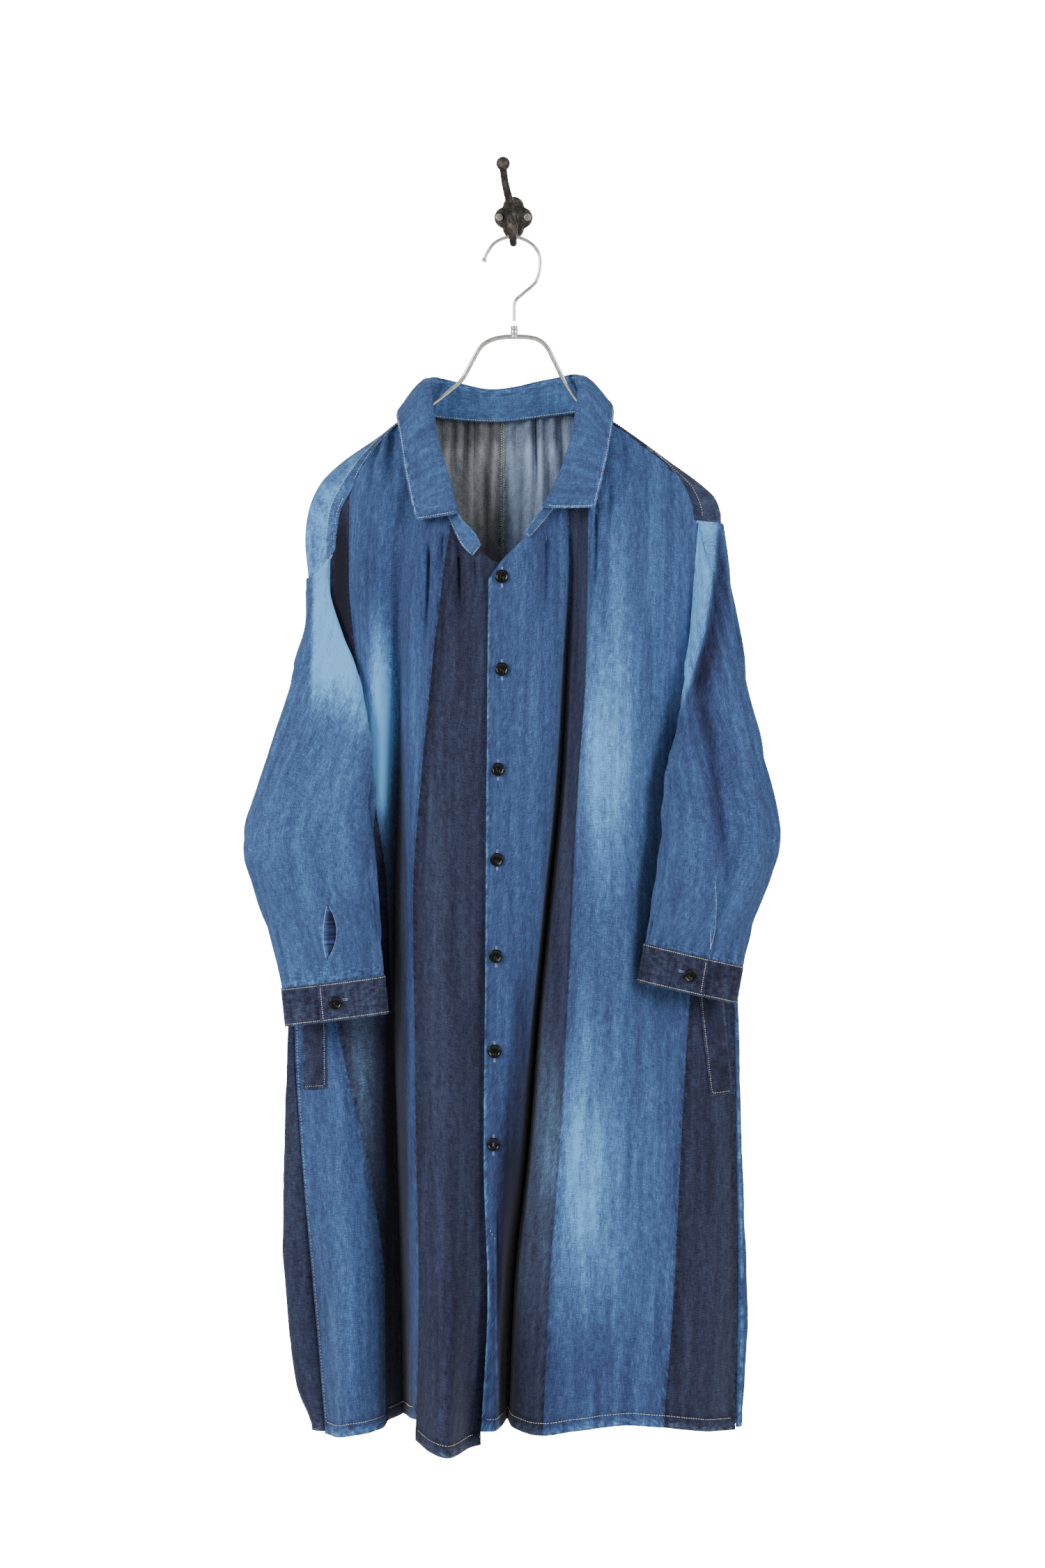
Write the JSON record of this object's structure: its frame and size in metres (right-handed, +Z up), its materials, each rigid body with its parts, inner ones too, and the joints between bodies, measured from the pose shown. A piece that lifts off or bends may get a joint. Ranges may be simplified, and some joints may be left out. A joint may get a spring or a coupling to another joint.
{
  "type": "patchwork denim coat hung on a wire hanger and wall hook",
  "caption": "Knee-length patchwork denim shirt coat, buttoned and hanging empty on a bent-wire steel hanger from a cast wall hook.",
  "frame": {"origin": "centre of the wall hook's flat back face, on the wall", "axes": "+X to the viewer's right, +Y into the wall, +Z up; the coat faces -Y"},
  "size_m": [0.5756, 0.1405, 1.388],
  "materials": {
    "mid_denim": "worn mid-blue denim",
    "dark_denim": "dark indigo denim, faded on the ridges",
    "light_denim": "light washed denim",
    "faded_denim": "mid-blue denim with pale worn patches",
    "button": "black, semi-gloss",
    "wire": "polished steel wire",
    "iron": "blackened, worn"
  },
  "bodies": {
    "root": {"front_right_gore": "mid_denim", "front_right_strip": "dark_denim", "front_right_panel": "mid_denim", "front_right_centre": "dark_denim", "front_left_centre": "mid_denim", "front_left_inset": "dark_denim", "front_left_panel": "faded_denim", "front_left_gore": "dark_denim", "side_right": "dark_denim", "side_left": "mid_denim", "back_right": "mid_denim", "back_left": "faded_denim", "shoulder_right": "light_denim", "shoulder_left": "dark_denim", "sleeve_right": "light_denim", "sleeve_left": "mid_denim", "cuff_right": "dark_denim", "cuff_left": "dark_denim", "collar_stand": "mid_denim", "collar_leaf": "mid_denim", "pocket_welt_right": "dark_denim", "pocket_welt_left": "dark_denim", "front_button_1": "button", "front_button_2": "button", "front_button_3": "button", "front_button_4": "button", "front_button_5": "button", "front_button_6": "button", "front_button_7": "button", "cuff_button_right": "button", "cuff_button_left": "button", "hanger_arms": "wire", "hanger_hook": "wire", "hanger_ferrule": "wire", "wall_hook": "iron", "wall_hook_screw_right": "iron", "wall_hook_screw_left": "iron"}
  },
  "joints": []
}
